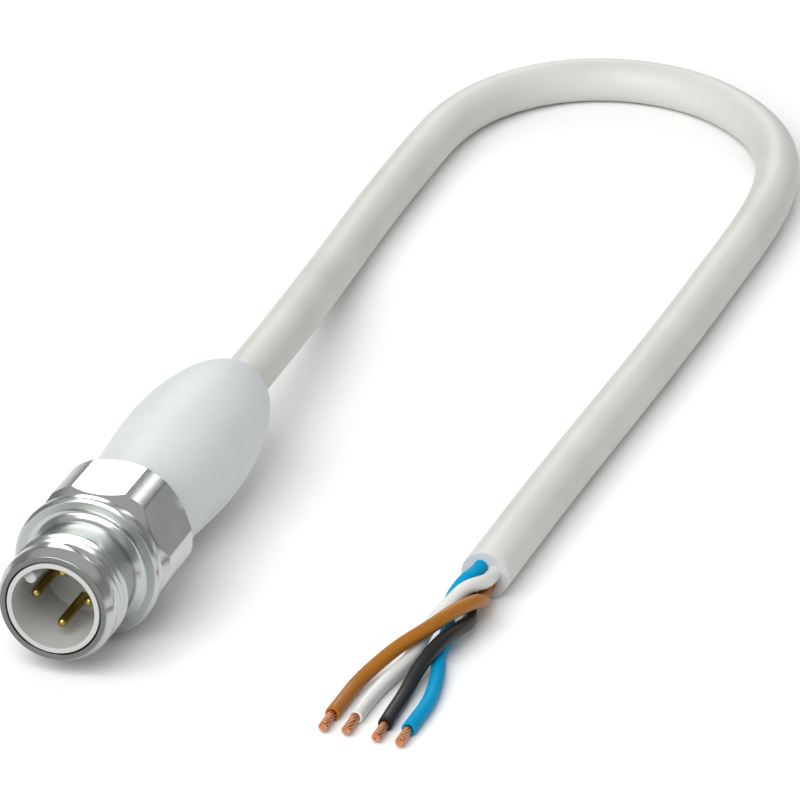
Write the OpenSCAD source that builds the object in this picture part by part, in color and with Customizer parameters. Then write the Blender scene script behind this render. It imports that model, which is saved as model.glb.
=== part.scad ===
// Moulded M12 cable plug, four contacts, with a free cable and stripped cores.
// The plug lies on its flange with its axis along Y, mating face towards -Y, cable towards +Y, +Z up.
// The origin is on the surface, under the middle of the plug. Heights named *_y are measured
// along the axis from the mating face.

/* [Plug] */
// Length of the plug from its mating face to the end of the grip
head_l = 54; // [50:0.5:62]

/* [Coupling nut] */
// Outside diameter of the coupling thread
thread_d = 12; // [11.5:0.1:12.6]
// Diameter of the nut's front face, inside the lead-in chamfer
face_d = 10.9; // [10.4:0.1:11.2]
// Length of the lead-in chamfer
lead_l = 0.9; // [0.5:0.1:1.2]
// Distance from the mating face to the end of the thread
thread_end = 5.1; // [4.4:0.1:6]
// Diameter of the smooth neck behind the thread
neck_d = 10.8; // [10.6:0.1:11.2]
// Distance from the mating face to the flange
flange_y = 9.2; // [8.4:0.1:10.2]
// Thickness of the flange
flange_t = 1.3; // [1:0.1:1.8]
// Diameter of the flange
flange_d = 15; // [14.4:0.1:16]
// Distance across the flats of the hexagon
hex_af = 14.2; // [13.8:0.1:14.5]
// Diameter of the hexagon's turned corners
hex_d = 15.24; // [14.9:0.02:15.8]
// Length of the hexagon, chamfers included
hex_l = 9.1; // [8:0.1:10]
// Length of the hexagon's front chamfer
hex_front_l = 1.9; // [1:0.1:2.2]
// Length of the hexagon's rear chamfer
hex_rear_l = 0.7; // [0.4:0.1:1.2]
// Radial gap between the nut's bore and the contact carrier
nut_gap = 0.15; // [0.1:0.05:0.25]

/* [Contact carrier] */
// Outside diameter of the carrier's front sleeve
sleeve_d = 9.5; // [9:0.1:9.8]
// Inside diameter of the socket
socket_d = 8.5; // [8.2:0.1:8.6]
// Depth of the socket
socket_l = 8.8; // [7.5:0.1:9.2]
// Width of the coding key
key_w = 1.2; // [0.8:0.1:1.5]
// How far the coding key stands in from the wall
key_h = 1.2; // [0.8:0.1:1.3]
// How far the coding key starts behind the mating face
key_y = 0.6; // [0.3:0.1:1.5]

/* [Contacts] */
// Diameter of a contact pin
pin_d = 1; // [0.8:0.05:1.1]
// Diameter of the circle that the pins stand on
pin_circle_d = 5.5; // [5.2:0.1:5.6]
// Distance from the mating face to the tips of the pins
pin_y = 2.3; // [1.6:0.1:3]
// Outside diameter of a solder cup
cup_d = 1.5; // [1.4:0.05:1.7]
// Bore of a solder cup
cup_bore = 0.95; // [0.9:0.05:1.05]
// Length of a solder cup behind the carrier
cup_l = 4; // [3:0.2:5]

/* [Retaining ring] */
// Thickness of the ring along the axis
ring_t = 0.7; // [0.5:0.1:0.8]
// Radial depth of the ring
ring_w = 0.95; // [0.8:0.05:1]
// Opening of the ring in degrees
ring_open = 40; // [20:5:90]

/* [Grip] */
// Diameter of the grip just behind the nut
waist_d = 12; // [11.8:0.1:12.8]
// Largest diameter of the grip
bulb_d = 13.4; // [13:0.1:15]
// Distance from the mating face to the largest diameter
bulb_y = 37; // [34:0.5:40]
// Diameter of the grip's end, where the cable leaves
grip_end_d = 6; // [5.8:0.1:7]
// Gap between the grip's shoulder and the nut
nut_play = 0.3; // [0.2:0.05:0.5]

/* [Cable] */
// Diameter of the cable
cable_d = 5; // [4.6:0.1:5]
// Diameter of one insulated core
core_d = 1.45; // [1.2:0.05:1.45]
// Radius at which the cores run in the cable
core_pitch_r = 1.04; // [1.03:0.01:1.1]
// Diameter of a core's bare copper
copper_d = 0.9; // [0.7:0.05:0.9]
// Length of bare copper at a core's free end
copper_l = 3; // [2:0.5:6]

/* [Hidden] */
// Play round a piece that is moulded or pressed in
fit = 0.04;

axis_z = flange_d / 2;
bore_d = sleeve_d + 2 * nut_gap;
hex_y = flange_y + flange_t;
nut_l = hex_y + hex_l;
shoulder_y = nut_l + nut_play;
// the ring's groove, under the flange, where the nut's wall is thickest, and behind the socket's floor
ring_y = max(flange_y, socket_l) + 0.5;
ring_play = 0.25;
ring_seat_d = sleeve_d - 0.7;
groove_d = ring_seat_d + 2 * (fit + ring_w + ring_play);
// the rear counterbore takes the carrier's collar and the grip's spigot
counter_y = ring_y + ring_t + 3;
spigot_d = 11;
counter_d = spigot_d + 0.8;
collar_y = counter_y + nut_play;
collar_t = 1.5;
carrier_l = collar_y + collar_t + 2.3;
carrier_tail_d = pin_circle_d + cup_d + 0.8;
cup_end = carrier_l + cup_l;
// depth of a cup's bore
cup_depth = 3;
// inner cores run from the cups to the end of the sheath inside the grip
core_start = cup_end + 0.5;
sheath_start = 30;
solder_l = 2.6;

// Route of the cable's middle, from inside the grip to the cut end
CABLE = [
    [0, sheath_start - head_l / 2, axis_z], [0, 18, axis_z], [0, 33, axis_z], [-0.2, 42, 7.3],
    [-0.9, 50, 6.5], [-2, 58, 5.1], [-3.1, 66, 3.7], [-4, 75, 2.7],
    [-4.5, 84, 2.5], [-4.7, 93, 2.5], [-4.8, 101, 2.5], [-4.8, 108.8, 2.5],
    [-4.6, 115, 2.5], [-3.6, 121.1, 2.5], [-1.4, 126.9, 2.5], [2.3, 132, 2.5],
    [7.3, 135.5, 2.5], [13.3, 136.8, 2.5], [19.3, 135.8, 2.5], [24.7, 132.7, 2.5],
    [29.1, 128.3, 2.5], [32.4, 123.1, 2.5], [34.5, 117.3, 2.5], [35.7, 111.3, 2.5],
    [36.3, 105.1, 2.5], [36.5, 96, 2.5], [36.3, 84, 2.5], [36.1, 71, 2.5],
    [35.7, 58, 2.5], [35.2, 45, 2.5], [34.7, 32, 2.5], [34.3, 18, 2.5], [34, 4.6, 2.5]];
END = CABLE[len(CABLE) - 1];
// Routes of the free cores, from the cable's cut end to the bare copper, and their places in the cable
BROWN = concat([leave(-65)], [[34.4, 3.4, 1.6], [35.2, 0.3, 1.8], [35.4, -2.8, 3.4], [34.2, -6.5, 3.8],
    [32.9, -10, 3.5], [30.7, -13.4, 2.5], [28.5, -18.8, 1], [28.2, -22.3, 0.73], [28.1, -25.8, 0.73]]);
WHITE = concat([leave(25)], [[34.9, 3.4, 2.9], [34.8, 1.3, 3.4], [33.8, -1, 3.8], [32.9, -4.8, 3.2],
    [32.2, -7.9, 2.5], [31.9, -12, 1.3], [30.9, -17.8, 0.9], [30.5, -21.5, 0.75], [30.4, -25.7, 0.73]]);
BLUE = concat([leave(115)], [[33.6, 3.4, 3.4], [33, 1, 3.5], [32.4, -2.2, 2.2], [33.3, -5.4, 0.9],
    [33.9, -10, 0.73], [35.2, -14.8, 0.73], [36, -20, 0.73], [36, -23, 0.73], [35.9, -26.2, 0.73]]);
BLACK = concat([leave(-155)], [[33.1, 3.4, 2.1], [33.4, 0.9, 1.6], [35, -3.3, 1.5], [34.8, -6.8, 2.1],
    [34.2, -10.4, 2.4], [33.4, -15, 1.5], [33.4, -19.8, 0.8], [33.4, -23, 0.73], [33.5, -26, 0.73]]);
BROWN_C = "#a9692a";
WHITE_C = "#eeeeea";
BLUE_C = "#0a97d2";
BLACK_C = "#2e3032";
COPPER_C = "#cd734b";
GOLD_C = "#c9a43f";

// Place of a core in the cable's cut end, at an angle from +X towards +Z
function leave(a) = END + core_pitch_r * [cos(a), 0, sin(a)];

function unit(v) = v / norm(v);
function along(r, i) = unit(r[min(i + 1, len(r) - 1)] - r[max(i - 1, 0)]);

// The first and last rings of a route stand square to Y, so that cords meet face to face
function heading(r, i) = (i == 0 || i == len(r) - 1) ? [0, sign(along(r, i)[1]), 0] : along(r, i);

function ring(c, t, d, n) =
    let (e = unit(cross(t, [0, 0, 1])), u = cross(e, t))
    [for (k = [0 : n - 1]) c + d / 2 * (cos(360 * k / n) * u + sin(360 * k / n) * e)];

module tube(route, d, n) {
    last = len(route) - 1;
    polyhedron(
        points = [for (i = [0 : last]) each ring(route[i], heading(route, i), d, n)],
        faces = concat(
            [[for (k = [0 : n - 1]) n - 1 - k]],
            [[for (k = [0 : n - 1]) last * n + k]],
            [for (i = [0 : last - 1], k = [0 : n - 1], h = [0, 1])
                let (a = i * n + k, b = i * n + (k + 1) % n)
                h == 0 ? [a, b, b + n] : [a, b + n, a + n]]));
}

// Local Z runs along the plug's axis from the mating face, local -Y is up
module on_axis() {
    translate([0, -head_l / 2, axis_z]) rotate([-90, 0, 0]) children();
}

module turned(profile) {
    rotate_extrude($fn = 96) polygon(profile);
}

module rod(y0, y1, d) {
    translate([0, 0, y0]) cylinder(d = d, h = y1 - y0, $fn = 48);
}

module hexagon(y0, y1) {
    translate([0, 0, y0]) cylinder(r = hex_af / 2 / cos(30), h = y1 - y0, $fn = 6);
}

// Contact places are counted against the clock from the top, seen on the mating face
module at_contact(n) {
    rotate([0, 0, 270 - 90 * (n - 1)]) translate([pin_circle_d / 2, 0, 0]) children();
}

module nut_outside() {
    root = 0.4;
    fillet = 0.5;
    fillet_d = neck_d + 1.8;
    bevel = 0.3;
    turned([[0, 0], [face_d / 2, 0], [thread_d / 2, lead_l], [thread_d / 2, thread_end],
        [neck_d / 2, thread_end + root], [neck_d / 2, flange_y - fillet], [fillet_d / 2, flange_y],
        [flange_d / 2 - bevel, flange_y], [flange_d / 2, flange_y + bevel], [flange_d / 2, hex_y],
        [0, hex_y]]);
    intersection() {
        relief_d = 13.8;
        relief_l = 0.7;
        turned([[0, hex_y - bevel], [relief_d / 2, hex_y - bevel], [relief_d / 2, hex_y + relief_l],
            [hex_d / 2, hex_y + hex_front_l], [hex_d / 2, nut_l - hex_rear_l],
            [hex_af / 2, nut_l], [0, nut_l]]);
        hexagon(hex_y - bevel, nut_l);
    }
}

module coupling_nut() {
    color("#8c8f8a") on_axis() difference() {
        nut_outside();
        rod(-1, nut_l + 1, bore_d);
        rod(ring_y - ring_play, ring_y + ring_t + ring_play, groove_d);
        rod(counter_y, nut_l + 1, counter_d);
    }
}

module retaining_ring() {
    reach = groove_d;
    color("#a8aaa6") on_axis() difference() {
        rod(ring_y, ring_y + ring_t, ring_seat_d + 2 * (fit + ring_w));
        rod(ring_y - 1, ring_y + ring_t + 1, ring_seat_d + 2 * fit);
        translate([0, 0, ring_y - 1]) linear_extrude(ring_t + 2)
            polygon([[0, 0], reach * [sin(ring_open / 2), cos(ring_open / 2)],
                reach * [-sin(ring_open / 2), cos(ring_open / 2)]]);
    }
}

module carrier_blank() {
    rod(0, collar_y, sleeve_d);
    rod(collar_y, collar_y + collar_t, spigot_d);
    rod(collar_y, carrier_l, carrier_tail_d);
}

module coding_key() {
    tip_r = key_w / 2;
    tip_at = socket_d / 2 - key_h + tip_r;
    rotate([0, 0, 225]) {
        translate([tip_at, 0, 0]) rod(key_y, socket_l + 0.5, key_w);
        translate([tip_at, -tip_r, key_y])
            cube([(socket_d + sleeve_d) / 4 - tip_at, key_w, socket_l + 0.5 - key_y]);
    }
}

module contact_carrier() {
    color("#cdcfcb") on_axis() difference() {
        union() {
            difference() {
                carrier_blank();
                rod(-1, socket_l, socket_d);
            }
            coding_key();
        }
        difference() {
            rod(ring_y - fit, ring_y + ring_t + fit, sleeve_d + 1);
            rod(ring_y - 1, ring_y + ring_t + 1, ring_seat_d);
        }
        for (n = [1 : 4]) at_contact(n) rod(socket_l - 1, carrier_l + 1, cup_d + 2 * fit);
    }
}

module contact(n) {
    tip_h = pin_d / 2;
    seat_y = socket_l + fit;
    color(GOLD_C) on_axis() at_contact(n) difference() {
        turned(concat([for (a = [0 : 15 : 90]) [pin_d / 2 * sin(a), pin_y + tip_h * (1 - cos(a))]],
            [[pin_d / 2, seat_y], [cup_d / 2, seat_y], [cup_d / 2, cup_end], [0, cup_end]]));
        rod(cup_end - cup_depth, cup_end + 1, cup_bore);
    }
}

module contact_pin_1() {
    contact(1);
}

module contact_pin_2() {
    contact(2);
}

module contact_pin_3() {
    contact(3);
}

module contact_pin_4() {
    contact(4);
}

// A core on its way from its solder cup in to its place in the cable
module inner_core(n, d) {
    lean = (pin_circle_d / 2 - core_pitch_r) / (sheath_start - core_start);
    intersection() {
        at_contact(n) translate([0, 0, core_start]) rotate([0, -atan(lean), 0])
            rod(-d, sheath_start - core_start + d, d);
        rod(core_start, sheath_start, 2 * waist_d);
    }
}

module solder_copper(n, d) {
    at_contact(n) rod(core_start - solder_l, core_start, d);
}

module inner_core_brown() {
    color(BROWN_C) on_axis() inner_core(1, core_d);
}

module inner_core_white() {
    color(WHITE_C) on_axis() inner_core(2, core_d);
}

module inner_core_blue() {
    color(BLUE_C) on_axis() inner_core(3, core_d);
}

module inner_core_black() {
    color(BLACK_C) on_axis() inner_core(4, core_d);
}

module inner_copper_brown() {
    color(COPPER_C) on_axis() solder_copper(1, copper_d);
}

module inner_copper_white() {
    color(COPPER_C) on_axis() solder_copper(2, copper_d);
}

module inner_copper_blue() {
    color(COPPER_C) on_axis() solder_copper(3, copper_d);
}

module inner_copper_black() {
    color(COPPER_C) on_axis() solder_copper(4, copper_d);
}

// The moulding's outside: spigot in the nut, waist, bulb and a blunt end round the cable
module grip_outside() {
    waist_end = shoulder_y + 2.1;
    rise = bulb_y - waist_end;
    swell = (bulb_d - waist_d) / 2;
    blunt = 1.3;
    turned(concat(
        [[0, collar_y + collar_t], [spigot_d / 2, collar_y + collar_t], [spigot_d / 2, shoulder_y],
            [waist_d / 2, shoulder_y]],
        [for (i = [0 : 8]) [waist_d / 2 + swell * (1 - cos(180 * i / 8)) / 2, waist_end + rise * i / 8]],
        [for (a = [10 : 10 : 90]) [grip_end_d / 2 + (bulb_d - grip_end_d) / 2 * pow(cos(a), blunt),
            bulb_y + (head_l - bulb_y) * sin(a)]],
        [[0, head_l]]));
}

module grip() {
    color("#dde3e5") on_axis() difference() {
        grip_outside();
        rod(collar_y, carrier_l, carrier_tail_d + 2 * fit);
        rod(sheath_start - fit, head_l + 1, cable_d + 2 * fit);
        for (n = [1 : 4]) {
            at_contact(n) rod(carrier_l - 1, cup_end + fit, cup_d + 2 * fit);
            solder_copper(n, copper_d + 2 * fit);
            inner_core(n, core_d + 2 * fit);
        }
    }
}

module cable_sheath() {
    color("#cdd0ca") tube(CABLE, cable_d, 12);
}

module core(route, c) {
    color(c) tube(route, core_d, 8);
}

module copper(route) {
    color(COPPER_C) translate(route[len(route) - 1]) rotate([90, 0, 0])
        cylinder(d = copper_d, h = copper_l, $fn = 24);
}

module core_brown() {
    core(BROWN, BROWN_C);
}

module core_white() {
    core(WHITE, WHITE_C);
}

module core_blue() {
    core(BLUE, BLUE_C);
}

module core_black() {
    core(BLACK, BLACK_C);
}

module copper_brown() {
    copper(BROWN);
}

module copper_white() {
    copper(WHITE);
}

module copper_blue() {
    copper(BLUE);
}

module copper_black() {
    copper(BLACK);
}

coupling_nut();
retaining_ring();
contact_carrier();
contact_pin_1();
contact_pin_2();
contact_pin_3();
contact_pin_4();
inner_core_brown();
inner_core_white();
inner_core_blue();
inner_core_black();
inner_copper_brown();
inner_copper_white();
inner_copper_blue();
inner_copper_black();
grip();
cable_sheath();
core_brown();
core_white();
core_blue();
core_black();
copper_brown();
copper_white();
copper_blue();
copper_black();
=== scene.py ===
import math

import bmesh
import bpy
from mathutils import Matrix, Vector, noise


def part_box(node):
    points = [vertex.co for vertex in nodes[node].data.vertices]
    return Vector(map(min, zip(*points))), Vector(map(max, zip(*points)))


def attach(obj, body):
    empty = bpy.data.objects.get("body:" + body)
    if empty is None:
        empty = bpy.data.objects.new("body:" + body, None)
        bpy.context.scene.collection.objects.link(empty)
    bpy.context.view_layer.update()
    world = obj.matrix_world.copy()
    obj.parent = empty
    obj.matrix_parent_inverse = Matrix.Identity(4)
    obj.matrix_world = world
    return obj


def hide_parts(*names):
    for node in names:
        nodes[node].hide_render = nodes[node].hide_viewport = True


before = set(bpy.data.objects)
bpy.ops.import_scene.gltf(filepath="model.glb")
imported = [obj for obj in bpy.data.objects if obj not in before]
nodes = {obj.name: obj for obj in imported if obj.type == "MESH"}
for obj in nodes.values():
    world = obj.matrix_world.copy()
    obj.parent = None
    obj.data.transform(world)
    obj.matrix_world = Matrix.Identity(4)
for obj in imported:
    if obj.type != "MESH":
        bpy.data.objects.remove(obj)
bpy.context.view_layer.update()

# A circular connector with a coupling nut, a moulded grip and a stripped four-core cable.
# Profiles and routes are in millimetres, and make() turns them into metres.
MM = 0.001
scene = bpy.context.scene

# The plug's axis runs along Y at the height of the nut's middle, and the mating face is at FACE_Y
nut_low, nut_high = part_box("coupling_nut")
FACE_Y = nut_low.y
AXIS_Z = (nut_low.z + nut_high.z) / 2
FACE_MM = FACE_Y / MM
AXIS_MM = AXIS_Z / MM


# ---------------------------------------------------------------- camera
def studio_camera():
    azimuth = math.radians(17.0)
    elevation = math.radians(24.8)
    roll = math.radians(1.81)
    target = Vector((0.0166, 0.0308, 0.0075))
    distance = 0.6728
    back = Vector((math.sin(azimuth) * math.cos(elevation),
                   -math.cos(azimuth) * math.cos(elevation), math.sin(elevation)))
    right = Vector((0, 0, 1)).cross(back).normalized()
    up = back.cross(right)
    turn = Matrix.Rotation(-roll, 3, -back)
    right = turn @ right
    up = turn @ up
    data = bpy.data.cameras.new("camera")
    data.sensor_width = 36
    data.lens = 293.1
    data.clip_start = 0.01
    data.clip_end = 10
    camera = bpy.data.objects.new("camera", data)
    place = target + back * distance
    camera.matrix_world = Matrix((
        (right.x, up.x, back.x, place.x),
        (right.y, up.y, back.y, place.y),
        (right.z, up.z, back.z, place.z),
        (0, 0, 0, 1)))
    scene.collection.objects.link(camera)
    scene.camera = camera


studio_camera()


# ---------------------------------------------------------------- sizes, in millimetres
CABLE_D = 5.0
CORE_D = 1.45
CORE_PITCH_R = 1.04
COPPER_D = 0.9
COPPER_L = 3.0

# The coupling nut, with each place along the axis counted from the mating face
THREAD_R = 6.0
ROOT_R = 5.42
PITCH = 1.0
LEAD_IN_END = 1.5
THREAD_FIRST = 1.95
THREAD_END = 5.1
NECK_R = 5.4
FLANGE_R = 7.5
FLANGE_Y = 9.2
FLANGE_END = 10.5
COLLAR_R = 6.9
CONE_R = 6.95
CONE_Y = 11.2
CONE_END = 12.4
HEX_HALF = 7.1
HEX_CORNER = 7.62
CHAMFER_Y = 18.9
NUT_END = 19.6
BORE_R = 4.9
REAR_BORE_R = 5.9
REAR_BORE_Y = 13.4
RING_GROOVE_R = 5.64
RING_GROOVE_Y = 9.45
RING_GROOVE_END = 10.65

# The contact carrier, the contacts and the grip
SOCKET_R = 4.25
SOCKET_DEPTH = 8.8
SLEEVE_R = 4.75
SHOULDER_R = 5.5
SHOULDER_Y = 13.7
SHOULDER_END = 15.2
KEY_R = 0.6
KEY_HEIGHT = 1.2
PIN_CIRCLE_R = 2.75
PIN_R = 0.5
PIN_Y = 2.3
# each contact ends in a solder cup
CUP_R = 0.75
CUP_BORE_R = 0.475
CUP_FLOOR_Y = 18.5
CUP_END = 21.5

# The routes of the cable and the cores, as in the part's source. A core's number is its place
# round the middle of the cut end, in degrees from +X towards the top.
CABLE = [
    (0, 3, AXIS_MM), (0, 18, AXIS_MM), (0, 33, AXIS_MM), (-0.2, 42, 7.3),
    (-0.9, 50, 6.5), (-2, 58, 5.1), (-3.1, 66, 3.7), (-4, 75, 2.7),
    (-4.5, 84, 2.5), (-4.7, 93, 2.5), (-4.8, 101, 2.5), (-4.8, 108.8, 2.5),
    (-4.6, 115, 2.5), (-3.6, 121.1, 2.5), (-1.4, 126.9, 2.5), (2.3, 132, 2.5),
    (7.3, 135.5, 2.5), (13.3, 136.8, 2.5), (19.3, 135.8, 2.5), (24.7, 132.7, 2.5),
    (29.1, 128.3, 2.5), (32.4, 123.1, 2.5), (34.5, 117.3, 2.5), (35.7, 111.3, 2.5),
    (36.3, 105.1, 2.5), (36.5, 96, 2.5), (36.3, 84, 2.5), (36.1, 71, 2.5),
    (35.7, 58, 2.5), (35.2, 45, 2.5), (34.7, 32, 2.5), (34.3, 18, 2.5), (34, 4.6, 2.5)]
CUT = Vector(CABLE[-1])
CORE_ROUTES = {
    "brown": (-65, [
        (34.4, 3.4, 1.6), (35.2, 0.3, 1.8), (35.4, -2.8, 3.4), (34.2, -6.5, 3.8), (32.9, -10, 3.5),
        (30.7, -13.4, 2.5), (28.5, -18.8, 1), (28.2, -22.3, 0.73), (28.1, -25.8, 0.73)]),
    "white": (25, [
        (34.9, 3.4, 2.9), (34.8, 1.3, 3.4), (33.8, -1, 3.8), (32.9, -4.8, 3.2), (32.2, -7.9, 2.5),
        (31.9, -12, 1.3), (30.9, -17.8, 0.9), (30.5, -21.5, 0.75), (30.4, -25.7, 0.73)]),
    "blue": (115, [
        (33.6, 3.4, 3.4), (33, 1, 3.5), (32.4, -2.2, 2.2), (33.3, -5.4, 0.9), (33.9, -10, 0.73),
        (35.2, -14.8, 0.73), (36, -20, 0.73), (36, -23, 0.73), (35.9, -26.2, 0.73)]),
    "black": (-155, [
        (33.1, 3.4, 2.1), (33.4, 0.9, 1.6), (35, -3.3, 1.5), (34.8, -6.8, 2.1), (34.2, -10.4, 2.4),
        (33.4, -15, 1.5), (33.4, -19.8, 0.8), (33.4, -23, 0.73), (33.5, -26, 0.73)]),
}


# ---------------------------------------------------------------- lines
def spline(points, step):
    """A smooth line through the points (centripetal Catmull-Rom), sampled about every step."""
    pts = [Vector(p) for p in points]
    ends = [2 * pts[0] - pts[1]] + pts + [2 * pts[-1] - pts[-2]]
    line = []
    for i in range(1, len(ends) - 2):
        p0, p1, p2, p3 = ends[i - 1:i + 3]
        t0 = 0.0
        t1 = t0 + max((p1 - p0).length, 1e-9) ** 0.5
        t2 = t1 + max((p2 - p1).length, 1e-9) ** 0.5
        t3 = t2 + max((p3 - p2).length, 1e-9) ** 0.5
        count = max(1, round((p2 - p1).length / step))
        for k in range(count):
            t = t1 + (t2 - t1) * k / count
            a1 = (t1 - t) / (t1 - t0) * p0 + (t - t0) / (t1 - t0) * p1
            a2 = (t2 - t) / (t2 - t1) * p1 + (t - t1) / (t2 - t1) * p2
            a3 = (t3 - t) / (t3 - t2) * p2 + (t - t2) / (t3 - t2) * p3
            b1 = (t2 - t) / (t2 - t0) * a1 + (t - t0) / (t2 - t0) * a2
            b2 = (t3 - t) / (t3 - t1) * a2 + (t - t1) / (t3 - t1) * a3
            line.append((t2 - t) / (t2 - t1) * b1 + (t - t1) / (t2 - t1) * b2)
    line.append(pts[-1])
    return line


def smoothed(line, rounds):
    """Evens out a line's bends and keeps its ends."""
    for _ in range(rounds):
        line = [line[0], line[1]] + [
            line[i] * 0.5 + (line[i - 1] + line[i + 1]) * 0.25 for i in range(2, len(line) - 2)
        ] + [line[-2], line[-1]]
    return line


def frames(line):
    """A direction and two side directions at each point, carried along without twist."""
    out = []
    side = None
    for i in range(len(line)):
        ahead = (line[min(i + 1, len(line) - 1)] - line[max(i - 1, 0)]).normalized()
        if side is None:
            side = ahead.cross(Vector((0, 0, 1))).normalized()
        side = (side - ahead * side.dot(ahead)).normalized()
        out.append((ahead, side, side.cross(ahead)))
    return out


# ---------------------------------------------------------------- meshes
ARC_STEPS = 4
ARC_SHARE = 0.45  # the most of a neighbouring side that a rounded corner takes


def make(name, verts, faces, body):
    """A mesh piece from points in millimetres, with its faces turned outwards."""
    mesh = bpy.data.meshes.new(name)
    mesh.from_pydata([tuple(c * MM for c in v) for v in verts], [], faces)
    mesh.validate()
    shell = bmesh.new()
    shell.from_mesh(mesh)
    bmesh.ops.recalc_face_normals(shell, faces=shell.faces)
    shell.to_mesh(mesh)
    shell.free()
    mesh.update()
    for polygon in mesh.polygons:
        polygon.use_smooth = True
    obj = bpy.data.objects.new(name, mesh)
    scene.collection.objects.link(obj)
    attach(obj, body)
    return obj


def grid_faces(rows, columns, close_rows=False):
    """The faces between rows of points, where each row is a closed ring of columns points."""
    faces = []
    for i in range(rows if close_rows else rows - 1):
        this, following = i * columns, ((i + 1) % rows) * columns
        for k in range(columns):
            n = (k + 1) % columns
            faces.append((this + k, this + n, following + n, following + k))
    return faces


def circle(centre, side, up, radius, sides):
    turns = [2 * math.pi * k / sides for k in range(sides)]
    return [centre + (side * math.cos(a) + up * math.sin(a)) * radius for a in turns]


def swept(line, radius, sides, recess, end_rings):
    """Points and faces of a closed tube round a line. The tube stops short of the line's end by
    recess, and goes on over end_rings of (radius, distance past the line's end) to a flat face."""
    verts = []
    for point, (_, side, up) in zip(line, frames(line)):
        verts += circle(point, side, up, radius, sides)
    faces = grid_faces(len(line), sides)
    faces.append(tuple(range(sides)))
    ahead, side, up = frames(line)[-1]
    last = len(verts) - sides
    for k in range(sides):
        verts[last + k] -= ahead * recess
    for r, past in end_rings:
        start = len(verts)
        verts += circle(line[-1] + ahead * past, side, up, r, sides)
        for k in range(sides):
            n = (k + 1) % sides
            faces.append((last + k, last + n, start + n, start + k))
        last = start
    faces.append(tuple(last + k for k in reversed(range(sides))))
    return verts, faces


def rounded(profile):
    """A profile of (r, y, fillet) as points (r, y), with each corner turned into a short arc."""
    out = []
    for i, (r, y, fillet) in enumerate(profile):
        here = Vector((r, y))
        if fillet <= 0 or i in (0, len(profile) - 1):
            out.append(here)
            continue
        before = Vector(profile[i - 1][:2]) - here
        after = Vector(profile[i + 1][:2]) - here
        reach = min(fillet, before.length * ARC_SHARE, after.length * ARC_SHARE)
        a = here + before.normalized() * reach
        c = here + after.normalized() * reach
        for s in range(ARC_STEPS + 1):
            t = s / ARC_STEPS
            out.append(a * (1 - t) ** 2 + here * 2 * t * (1 - t) + c * t * t)
    return out


def on_axis(r, y, angle, centre=(0.0, 0.0)):
    """A point on a turned piece. y runs back from the mating face, and angle 0 is up, with +X next."""
    return Vector((centre[0] + r * math.sin(angle), FACE_MM + y,
                   AXIS_MM + centre[1] + r * math.cos(angle)))


def turned(profile, sides, centre=(0.0, 0.0)):
    """Points and faces of a turned piece from points (r, y). A point with r = 0 closes an end."""
    verts, faces, rows = [], [], []
    for r, y in profile:
        rows.append((len(verts), r <= 0))
        if r <= 0:
            verts.append(on_axis(0, y, 0, centre))
        else:
            verts += [on_axis(r, y, 2 * math.pi * k / sides, centre) for k in range(sides)]
    for (a, a_closes), (b, b_closes) in zip(rows, rows[1:]):
        for k in range(sides):
            n = (k + 1) % sides
            if a_closes:
                faces.append((a, b + n, b + k))
            elif b_closes:
                faces.append((a + k, a + n, b))
            else:
                faces.append((a + k, a + n, b + n, b + k))
    return verts, faces


def joined(*parts):
    verts, faces = [], []
    for v, f in parts:
        base = len(verts)
        verts += v
        faces += [tuple(i + base for i in face) for face in f]
    return verts, faces


# ---------------------------------------------------------------- materials
# Bump distances are in metres. Most of a noise's values lie between these two.
NOISE_LOW, NOISE_HIGH = 0.25, 0.75
FINE = 0.00001
ROOT_SHADE = 0.22  # painted shade: the share of its brightness that the thread's root keeps
PATCH = 0.93  # the share that the steel's darker patches keep


def material(name):
    m = bpy.data.materials.new(name)
    m.use_nodes = True
    tree = m.node_tree
    shader = tree.nodes["Principled BSDF"]
    place = tree.nodes.new("ShaderNodeTexCoord")
    return m, tree, shader, place.outputs["Object"]


def noise_of(tree, vector, scale, detail=3.0, rough=0.5):
    n = tree.nodes.new("ShaderNodeTexNoise")
    n.inputs["Scale"].default_value = scale
    n.inputs["Detail"].default_value = detail
    n.inputs["Roughness"].default_value = rough
    tree.links.new(vector, n.inputs["Vector"])
    return n.outputs["Fac"]


def ranged(tree, value, start, end, low=NOISE_LOW, high=NOISE_HIGH):
    """Maps values from low to high onto start to end, and stays inside them."""
    m = tree.nodes.new("ShaderNodeMapRange")
    m.inputs["From Min"].default_value = low
    m.inputs["From Max"].default_value = high
    m.inputs["To Min"].default_value = start
    m.inputs["To Max"].default_value = end
    tree.links.new(value, m.inputs["Value"])
    return m.outputs["Result"]


def combined(tree, operation, first, second):
    """A Math node on a value and another value or a plain number."""
    m = tree.nodes.new("ShaderNodeMath")
    m.operation = operation
    tree.links.new(first, m.inputs[0])
    if isinstance(second, float):
        m.inputs[1].default_value = second
    else:
        tree.links.new(second, m.inputs[1])
    return m.outputs[0]


def tint(tree, shader, value, dark, light):
    ramp = tree.nodes.new("ShaderNodeValToRGB")
    ramp.color_ramp.elements[0].position = 0.3
    ramp.color_ramp.elements[1].position = 0.7
    ramp.color_ramp.elements[0].color = (*dark, 1)
    ramp.color_ramp.elements[1].color = (*light, 1)
    tree.links.new(value, ramp.inputs["Fac"])
    tree.links.new(ramp.outputs["Color"], shader.inputs["Base Color"])


def bump(tree, shader, height, strength, distance):
    b = tree.nodes.new("ShaderNodeBump")
    b.inputs["Strength"].default_value = strength
    b.inputs["Distance"].default_value = distance
    tree.links.new(height, b.inputs["Height"])
    tree.links.new(b.outputs["Normal"], shader.inputs["Normal"])


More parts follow.
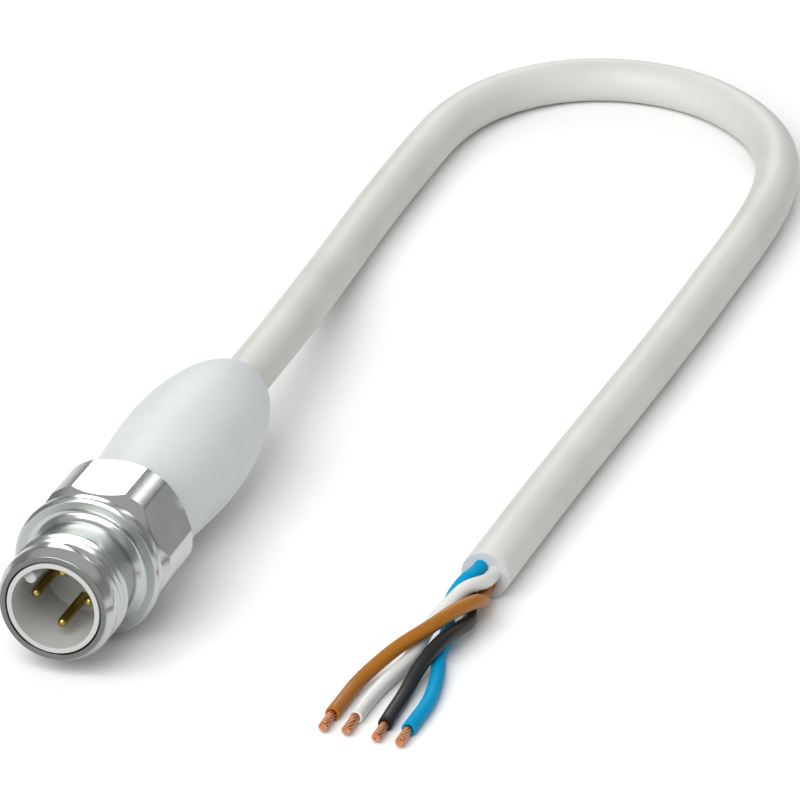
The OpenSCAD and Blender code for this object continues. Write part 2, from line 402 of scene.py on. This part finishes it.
def turning_marks(tree, place):
    """A coordinate that changes only with a point's radius (X) and its place along the axis (Y)."""
    split = tree.nodes.new("ShaderNodeSeparateXYZ")
    tree.links.new(place, split.inputs[0])
    across = tree.nodes.new("ShaderNodeCombineXYZ")
    tree.links.new(split.outputs["X"], across.inputs["X"])
    tree.links.new(combined(tree, "SUBTRACT", split.outputs["Z"], AXIS_Z), across.inputs["Z"])
    radius = tree.nodes.new("ShaderNodeVectorMath")
    radius.operation = "LENGTH"
    tree.links.new(across.outputs[0], radius.inputs[0])
    out = tree.nodes.new("ShaderNodeCombineXYZ")
    tree.links.new(radius.outputs["Value"], out.inputs["X"])
    tree.links.new(split.outputs["Y"], out.inputs["Y"])
    return out.outputs[0]


def paint_root_shade(tree, shader, marks):
    """Painted shade: the steel's colour is darker at the root of the thread, where shade falls in the
    groove.
    """
    split = tree.nodes.new("ShaderNodeSeparateXYZ")
    tree.links.new(marks, split.inputs[0])
    outside = ranged(tree, split.outputs["X"], ROOT_SHADE, 1.0, (ROOT_R - 0.1) * MM, (ROOT_R + 0.16) * MM)
    behind = ranged(tree, split.outputs["Y"], 0.0, 1.0,
                    FACE_Y + (THREAD_END - 0.1) * MM, FACE_Y + (THREAD_END + 0.1) * MM)
    shade = tree.nodes.new("ShaderNodeVectorMath")
    shade.operation = "SCALE"
    tree.links.new(shader.inputs["Base Color"].links[0].from_socket, shade.inputs[0])
    tree.links.new(combined(tree, "MAXIMUM", outside, behind), shade.inputs["Scale"])
    tree.links.new(shade.outputs[0], shader.inputs["Base Color"])


def steel(name, light, rough, threaded=False):
    """Turned steel, with fine marks that run round the axis."""
    m, tree, shader, place = material(name)
    shader.inputs["Metallic"].default_value = 1.0
    marks = turning_marks(tree, place)
    fine = noise_of(tree, marks, scale=9000, detail=2.0)
    cloud = noise_of(tree, place, scale=260)
    tint(tree, shader, cloud, tuple(c * PATCH for c in light), light)
    if threaded:
        # the thread's roots get painted shade
        paint_root_shade(tree, shader, marks)
    streaks = ranged(tree, fine, -0.03, 0.05)
    patches = ranged(tree, cloud, rough - 0.03, rough + 0.04)
    tree.links.new(combined(tree, "ADD", streaks, patches), shader.inputs["Roughness"])
    bump(tree, shader, fine, strength=0.06, distance=FINE)
    return m


def plastic(name, dark, light, rough, grain, depth=FINE, strength=0.25, specular=0.5):
    m, tree, shader, place = material(name)
    shader.inputs["Specular IOR Level"].default_value = specular
    fine = noise_of(tree, place, grain, detail=4.0, rough=0.6)
    cloud = noise_of(tree, place, scale=90, detail=2.0)
    tint(tree, shader, cloud, dark, light)
    tree.links.new(ranged(tree, fine, rough - 0.05, rough + 0.06), shader.inputs["Roughness"])
    bump(tree, shader, fine, strength, depth)
    return m


def metal(name, dark, light, rough, grain):
    m, tree, shader, place = material(name)
    shader.inputs["Metallic"].default_value = 1.0
    fine = noise_of(tree, place, grain)
    tint(tree, shader, fine, dark, light)
    tree.links.new(ranged(tree, fine, rough - 0.04, rough + 0.06), shader.inputs["Roughness"])
    bump(tree, shader, fine, strength=0.08, distance=FINE)
    return m


NUT_STEEL = steel("turned_steel", (0.51, 0.53, 0.515), rough=0.19, threaded=True)
# painted shade: the faced steels are darker copies of the turned steel, each with its own roughness
FACED_SHADED_STEEL = steel("faced_steel_painted_shade", (0.19, 0.20, 0.19), rough=0.42)
SHOULDER_SHADED_STEEL = steel("shoulder_steel_painted_shade", (0.46, 0.48, 0.465), rough=0.38)
RING_STEEL = steel("spring_steel", (0.5, 0.5, 0.49), rough=0.3)
CARRIER = plastic("carrier_plastic", (0.41, 0.415, 0.40), (0.46, 0.465, 0.45),
                  rough=0.4, grain=5200)
GRIP = plastic("grip_plastic", (0.62, 0.645, 0.65), (0.66, 0.685, 0.69),
               rough=0.5, grain=3600, depth=0.00002, strength=0.35)
SHEATH = plastic("sheath_plastic", (0.565, 0.565, 0.53), (0.62, 0.62, 0.585),
                 rough=0.48, grain=3000, depth=0.00002, strength=0.3)
SHEATH_CUT = plastic("sheath_cut", (0.46, 0.465, 0.475), (0.51, 0.515, 0.525),
                     rough=0.7, grain=6000, depth=0.00004, strength=0.6)
GOLD = metal("contact_gold", (0.34, 0.245, 0.06), (0.44, 0.325, 0.09), rough=0.22, grain=4000)
COPPER = metal("bare_copper", (0.58, 0.22, 0.10), (0.74, 0.35, 0.18), rough=0.30, grain=7000)
CORE = {
    "brown": plastic("core_brown_insulation", (0.28, 0.10, 0.008), (0.35, 0.13, 0.012),
                     rough=0.38, grain=5000, specular=0.2),
    "white": plastic("core_white_insulation", (0.62, 0.62, 0.60), (0.68, 0.68, 0.66),
                     rough=0.38, grain=5000),
    "blue": plastic("core_blue_insulation", (0.0, 0.25, 0.50), (0.0, 0.30, 0.56),
                    rough=0.45, grain=5000, specular=0.04),
    "black": plastic("core_black_insulation", (0.011, 0.0115, 0.012), (0.016, 0.0165, 0.017),
                     rough=0.42, grain=5000, specular=0.22),
}


def give(obj, *materials):
    obj.data.materials.clear()
    for m in materials:
        obj.data.materials.append(m)


# ---------------------------------------------------------------- cable
CABLE_SIDES = 56
CORE_SIDES = 28
WIRE_SIDES = 9
WIRE_STEPS = 14
WIRE_R = 0.105
WIRE_LAYERS = ((0.0, 1), (0.2, 6), (0.345, 10))  # a layer's radius and how many wires it has
WIRE_INSIDE = 0.25  # how far the wires start inside the insulation
WIRE_TURN = 1.9  # how far a wire turns round the bundle, in radians
TIP_GAP = 0.04
TIP_SPREAD = 0.22  # the most that one wire is cut shorter than another


def cable():
    line = smoothed(spline(CABLE, step=1.5), rounds=6)
    r = CABLE_D / 2
    # the start closes flat inside the grip, and the cores come out of the flat cut end
    rings = [(r - 0.02, -0.02), (r - 0.07, 0.0), (r - 0.12, 0.0), (r - 0.5, 0.0)]
    verts, faces = swept(line, r, CABLE_SIDES, recess=0.07, end_rings=rings)
    piece = make("cable_sheath_tube", verts, faces, "plug")
    give(piece, SHEATH, SHEATH_CUT)
    cut_faces = (len(rings) - 1) * CABLE_SIDES + 1
    for polygon in list(piece.data.polygons)[-cut_faces:]:
        polygon.material_index = 1
    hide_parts("cable_sheath")
    return piece, [v * MM for v in line]


def core(colour):
    place, route = CORE_ROUTES[colour]
    a = math.radians(place)
    start = CUT + Vector((math.cos(a), 0, math.sin(a))) * CORE_PITCH_R
    points = [start + Vector((0, 0.4, 0)), start] + [Vector(p) for p in route]
    line = smoothed(spline(points, step=0.6), rounds=5)
    r, copper_r = CORE_D / 2, COPPER_D / 2
    # the stripped end is cut square, with a small ring of insulation round the copper
    rings = [(r - 0.02, -0.02), (r - 0.07, 0.0), (copper_r + 0.05, 0.0), (copper_r, -0.05),
             (copper_r - 0.05, -0.3)]
    verts, faces = swept(line, r, CORE_SIDES, recess=0.06, end_rings=rings)
    piece = make("core_%s_insulated" % colour, verts, faces, "plug")
    give(piece, CORE[colour])
    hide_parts("core_" + colour)
    return piece, [v * MM for v in line], line[-1]


def strands(colour, end, turn):
    """Bare copper: a bundle of fine wires laid round each other, a little loose at the tip."""
    parts = []
    for layer, count in WIRE_LAYERS:
        for k in range(count):
            seed = Vector(((len(parts) + 1) * 1.7, turn, 0.3))
            length = COPPER_L - TIP_GAP - TIP_SPREAD * abs(noise.noise(seed))
            line = []
            for s in range(WIRE_STEPS + 1):
                t = s / WIRE_STEPS
                a = 2 * math.pi * k / count + turn + (WIRE_TURN + 0.25 * layer) * t
                along = WIRE_INSIDE - t * (length + WIRE_INSIDE)
                line.append(end + Vector((layer * math.cos(a), along, layer * math.sin(a))))
            # each wire's cut tip is slightly rounded
            tip = [(WIRE_R * 0.75, 0.02)]
            parts.append(swept(line, WIRE_R, WIRE_SIDES, recess=0.0, end_rings=tip))
    verts, faces = joined(*parts)
    piece = make("copper_%s_strands" % colour, verts, faces, "plug")
    give(piece, COPPER)
    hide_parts("copper_" + colour)
    return piece


sheath, sheath_path = cable()
for number, colour in enumerate(CORE_ROUTES):
    insulated, core_path, tip = core(colour)
    copper = strands(colour, tip, 0.8 * number)


# ---------------------------------------------------------------- coupling nut
EDGE = 0.03  # how softly the hexagon's surfaces run into each other
GROOVE_HALF = 0.44 * PITCH
GROOVE_FLOOR_HALF = 0.09 * PITCH
THREAD_ROWS = 80
THREAD_RUN_IN = 0.2  # the turns that the groove takes to reach its full depth


def soft_min(a, b):
    """The smaller of two radii, with a small curve where they meet."""
    h = max(0.0, min(1.0, 0.5 + 0.5 * (b - a) / EDGE))
    return b * (1 - h) + a * h - EDGE * h * (1 - h)


def hex_radius(angle):
    sector = (angle + math.pi / 6) % (math.pi / 3) - math.pi / 6
    return soft_min(HEX_HALF / math.cos(sector), HEX_CORNER)


def thread_cut(y, angle):
    """How deep the thread's groove is at a place on the nut: a helix that starts behind the lead-in."""
    turns = (y - THREAD_FIRST) / PITCH - angle / (2 * math.pi)
    nearest = round(turns)
    if nearest < 0:
        return 0.0
    begun = nearest + angle / (2 * math.pi)
    fade = min(1.0, max(0.0, begun / THREAD_RUN_IN))
    slope = (GROOVE_HALF - abs(turns - nearest) * PITCH) / (GROOVE_HALF - GROOVE_FLOOR_HALF)
    return fade * (THREAD_R - ROOT_R) * max(0.0, min(1.0, slope))


def hexagon_rows(d):
    """The hexagon's points (r, y) from its front cone to its back face, at an angle where its flat
    or corner lies d from the axis. The points crowd where the cone and the back chamfer meet it,
    and room is the share of their usual spacing that fits before the cone starts or the nut ends."""
    slope = (HEX_CORNER - CONE_R) / (CONE_END - CONE_Y)
    meets = CONE_Y + (d - CONE_R) / slope
    room = min(1.0, (meets - CONE_Y) / 0.52)
    ys = [CONE_Y] + [meets - o * room for o in (0.5, 0.25, 0.12, 0.06, 0.02)]
    ys += [meets + o for o in (0.02, 0.06, 0.12, 0.25)] + [13.2, 15.7, 18.2]
    rows = [(soft_min(CONE_R + (y - CONE_Y) * slope, d), y) for y in ys]

    slope = (HEX_CORNER - HEX_HALF) / (NUT_END - CHAMFER_Y)
    meets = CHAMFER_Y + (HEX_CORNER - d) / slope
    room = min(1.0, (NUT_END - meets) / 0.25 + 0.05)
    for o in (-0.2, -0.1, -0.05, -0.02, 0.02, 0.05, 0.1, 0.2):
        y = min(meets + o * room, NUT_END - 0.01)
        rows.append((soft_min(HEX_CORNER - (y - CHAMFER_Y) * slope, d), y))
    return rows + [(HEX_HALF - 0.02, NUT_END - 0.01), (HEX_HALF - 0.06, NUT_END), (6.5, NUT_END)]


def coupling_nut():
    half = [2, 6, 10, 14, 17, 19.4, 20.3, 20.9, 21.3, 21.9, 22.6, 24.5, 27]
    sector = [-30] + [-a for a in reversed(half)] + half
    angles = [math.radians(60 * s + a) for s in range(6) for a in sector]
    front = rounded([
        (BORE_R, 0.5, 0), (BORE_R, 0.04, 0.02), (BORE_R + 0.04, 0.0, 0.02), (5.46, 0.0, 0.05),
        (5.56, 0.16, 0.08), (5.95, 0.95, 0.12), (THREAD_R, 1.25, 0.1), (THREAD_R, LEAD_IN_END, 0)])
    thread = [Vector((THREAD_R, LEAD_IN_END + (THREAD_END - LEAD_IN_END) * i / THREAD_ROWS))
              for i in range(1, THREAD_ROWS + 1)]
    neck_and_flange = rounded([
        (THREAD_R, THREAD_END, 0), (NECK_R, THREAD_END + 0.4, 0.2), (NECK_R, 8.55, 0.5),
        (6.0, FLANGE_Y - 0.05, 0.25), (6.35, FLANGE_Y, 0.1), (7.2, FLANGE_Y, 0.06),
        (FLANGE_R, 9.5, 0.08), (FLANGE_R, 10.35, 0.08), (7.36, FLANGE_END, 0.05),
        (COLLAR_R, FLANGE_END, 0.06), (COLLAR_R, CONE_Y - 0.05, 0.06)])[1:]
    # the bore, with the groove for the retaining ring
    inside = rounded([
        (REAR_BORE_R, NUT_END, 0.06), (REAR_BORE_R, REAR_BORE_Y, 0.05),
        (BORE_R, REAR_BORE_Y, 0.05), (BORE_R, RING_GROOVE_END, 0.03),
        (RING_GROOVE_R, RING_GROOVE_END, 0.03), (RING_GROOVE_R, RING_GROOVE_Y, 0.03),
        (BORE_R, RING_GROOVE_Y, 0.03)])
    columns = []
    for angle in angles:
        column = [(r, y) for r, y in front]
        column += [(r - thread_cut(y, angle), y) for r, y in thread]
        column += [(r, y) for r, y in neck_and_flange]
        column += hexagon_rows(hex_radius(angle))
        column += [(r, y) for r, y in inside]
        columns.append(column)
    rows = len(columns[0])
    verts = [on_axis(*column[i], angle) for i in range(rows) for column, angle in zip(columns, angles)]
    faces = grid_faces(rows, len(angles), close_rows=True)
    piece = make("coupling_nut_turned", verts, faces, "nut")
    give(piece, NUT_STEEL, FACED_SHADED_STEEL, SHOULDER_SHADED_STEEL)
    # the nut's front face and the flange's front face are faced, the rest is turned; the faced steels
    # are darker copies of the same steel, which is painted shade
    finish = []
    for i in range(rows):
        (r0, y0), (r1, y1) = columns[0][i], columns[0][(i + 1) % rows]
        flat = abs(y1 - y0) < 0.02 and abs(r1 - r0) > 0.3
        if flat and y0 < 0.1:
            finish.append(1)
        elif flat and abs(y0 - FLANGE_Y) < 0.1:
            finish.append(2)
        else:
            finish.append(0)
    for polygon in piece.data.polygons:
        polygon.material_index = finish[polygon.index // len(angles)]
    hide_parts("coupling_nut")


coupling_nut()


# ---------------------------------------------------------------- contact carrier and contacts
def contact_carrier():
    groove_r, groove_y, groove_end = 4.4, 9.66, 10.44
    tail_r, tail_end = 3.9, 17.5
    outline = rounded([
        (0, SOCKET_DEPTH, 0), (SOCKET_R, SOCKET_DEPTH, 0.12), (SOCKET_R, 0.0, 0.05),
        (SLEEVE_R, 0.0, 0.05), (SLEEVE_R, groove_y, 0.03), (groove_r, groove_y, 0.03),
        (groove_r, groove_end, 0.03), (SLEEVE_R, groove_end, 0.03), (SLEEVE_R, SHOULDER_Y, 0.03),
        (SHOULDER_R, SHOULDER_Y, 0.05), (SHOULDER_R, SHOULDER_END, 0.05),
        (tail_r, SHOULDER_END, 0.05), (tail_r, tail_end, 0.05), (0, tail_end, 0)])
    body = turned(outline, sides=144)
    # the coding key: a rib with a rounded crest, standing in from the wall, up and to the left
    crest, in_wall = SOCKET_R - KEY_HEIGHT + KEY_R, SOCKET_R + 0.15
    section = [(in_wall, -KEY_R)] + [
        (crest - KEY_R * math.cos(math.radians(a)), KEY_R * math.sin(math.radians(a)))
        for a in range(-90, 91, 12)] + [(in_wall, KEY_R)]
    turn = math.radians(-45)
    # each station is a place along the axis and how far the crest draws in there
    stations = [(0.6, 0.10), (0.63, 0.05), (0.68, 0.015), (0.75, 0.0), (SOCKET_DEPTH + 0.1, 0.0)]
    verts = []
    for y, inset in stations:
        for r, w in section:
            r += inset if r < SOCKET_R else 0
            w *= 1 - inset / KEY_R
            verts.append(Vector((r * math.sin(turn) + w * math.cos(turn), FACE_MM + y,
                                 AXIS_MM + r * math.cos(turn) - w * math.sin(turn))))
    n = len(section)
    faces = grid_faces(len(stations), n)
    faces.append(tuple(reversed(range(n))))
    faces.append(tuple((len(stations) - 1) * n + k for k in range(n)))
    verts, faces = joined(body, (verts, faces))
    piece = make("contact_carrier_moulded", verts, faces, "plug")
    give(piece, CARRIER)
    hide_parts("contact_carrier")


def contact_pins():
    seat_y = SOCKET_DEPTH + 0.04
    dome = [(PIN_R * math.sin(math.radians(a)), PIN_Y + PIN_R * (1 - math.cos(math.radians(a))))
            for a in range(0, 91, 9)]
    shank = rounded([
        (PIN_R, seat_y, 0), (CUP_R, seat_y, 0.02), (CUP_R, CUP_END, 0.05),
        (CUP_BORE_R, CUP_END, 0.05), (CUP_BORE_R, CUP_FLOOR_Y, 0.02), (0, CUP_FLOOR_Y, 0)])
    places = {1: (0, PIN_CIRCLE_R), 2: (-PIN_CIRCLE_R, 0), 3: (0, -PIN_CIRCLE_R), 4: (PIN_CIRCLE_R, 0)}
    for number, centre in places.items():
        verts, faces = turned(dome + shank, sides=40, centre=centre)
        piece = make("contact_pin_%d_turned" % number, verts, faces, "plug")
        give(piece, GOLD)
        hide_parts("contact_pin_%d" % number)


contact_carrier()
contact_pins()


# ---------------------------------------------------------------- grip
def grip():
    spigot_r, waist_r, bulb_r, end_r = SHOULDER_R, 6.0, 6.7, 3.0
    start, spigot_end, waist_end, bulb_y, end_y = SHOULDER_END, 19.9, 22.0, 37.0, 54.0
    bore = CABLE_D / 2 + 0.02
    waist = spigot_end + 0.15
    swell_steps, nose_steps, nose_power = 28, 36, 1.3
    profile = [(0, start), (spigot_r - 0.05, start), (spigot_r, start + 0.05),
               (spigot_r, spigot_end), (waist_r - 0.15, spigot_end),
               (waist_r - 0.05, spigot_end + 0.04), (waist_r, waist)]
    profile += [(waist_r, waist + (waist_end - waist) * i / 3) for i in (1, 2)]
    for i in range(swell_steps + 1):
        t = i / swell_steps
        profile.append((waist_r + (bulb_r - waist_r) * (1 - math.cos(math.pi * t)) / 2,
                        waist_end + (bulb_y - waist_end) * t))
    for i in range(1, nose_steps):
        a = math.radians(90 * i / nose_steps)
        profile.append((end_r + (bulb_r - end_r) * math.cos(a) ** nose_power,
                        bulb_y + (end_y - bulb_y) * math.sin(a)))
    profile += [(end_r + 0.02, end_y - 0.01), (bore + 0.04, end_y), (bore, end_y - 0.05),
                (bore, end_y - 6), (0, end_y - 6)]
    verts, faces = turned(profile, sides=128)
    piece = make("grip_moulding", verts, faces, "plug")
    give(piece, GRIP)
    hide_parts("grip")


grip()

# ---------------------------------------------------------------- the hidden CAD pieces
give(nodes["retaining_ring"], RING_STEEL)
for colour, surface in CORE.items():
    give(nodes["inner_core_" + colour], surface)
    give(nodes["inner_copper_" + colour], COPPER)


# ---------------------------------------------------------------- studio
FLOOR_HALF = 3.0
# Colours of the surroundings by height, where 0 is the horizon and 1 is straight up
SKY_LOW = (0.42, 0.425, 0.42, 1)
SKY_TOP = (0.56, 0.56, 0.56, 1)
SKY_GREYS = ((0.12, 0.28), (0.30, 0.30), (0.42, 0.22), (0.60, 0.52), (0.75, 0.52))
SKY_STRENGTH = 1.12
AIM = Vector((0.015, 0.03, 0.0))


def floor():
    s = FLOOR_HALF
    mesh = bpy.data.meshes.new("floor")
    mesh.from_pydata([(-s, -s, 0), (s, -s, 0), (s, s, 0), (-s, s, 0)], [], [(0, 1, 2, 3)])
    plane = bpy.data.objects.new("floor", mesh)
    scene.collection.objects.link(plane)
    paper, tree, shader, place = material("floor_paper")
    cloud = noise_of(tree, place, scale=4, detail=2.0)
    tint(tree, shader, cloud, (0.93, 0.93, 0.93), (0.95, 0.95, 0.95))
    shader.inputs["Roughness"].default_value = 0.9
    give(plane, paper)


def surroundings():
    world = bpy.data.worlds.new("studio")
    scene.world = world
    world.use_nodes = True
    tree = world.node_tree
    background = tree.nodes["Background"]
    place = tree.nodes.new("ShaderNodeTexCoord")
    split = tree.nodes.new("ShaderNodeSeparateXYZ")
    tree.links.new(place.outputs["Generated"], split.inputs[0])
    ramp = tree.nodes.new("ShaderNodeValToRGB")
    ramp.color_ramp.elements[0].position = 0.0
    ramp.color_ramp.elements[0].color = SKY_LOW
    ramp.color_ramp.elements[1].position = 1.0
    ramp.color_ramp.elements[1].color = SKY_TOP
    for height, grey in SKY_GREYS:
        step = ramp.color_ramp.elements.new(height)
        step.color = (grey, grey * 1.01, grey, 1)
    tree.links.new(split.outputs["Z"], ramp.inputs["Fac"])
    tree.links.new(ramp.outputs["Color"], background.inputs["Color"])
    background.inputs["Strength"].default_value = SKY_STRENGTH


def softbox(name, place, size, power):
    data = bpy.data.lights.new(name, "AREA")
    data.shape = "RECTANGLE"
    data.size, data.size_y = size
    data.energy = power
    lamp = bpy.data.objects.new(name, data)
    lamp.location = place
    lamp.rotation_euler = (AIM - Vector(place)).to_track_quat("-Z", "Y").to_euler()
    scene.collection.objects.link(lamp)


floor()
surroundings()
softbox("key", (-0.16, -0.80, 0.74), (0.95, 0.95), 13.0)
softbox("back", (-0.30, 0.98, 0.475), (0.42, 0.34), 2.0)  # lights up the hexagon's top flat
softbox("strip", (0.27, 0.98, 0.50), (0.07, 0.40), 0.35)  # and its upper right corner
scene.view_settings.view_transform = "Standard"
scene.view_settings.look = "None"
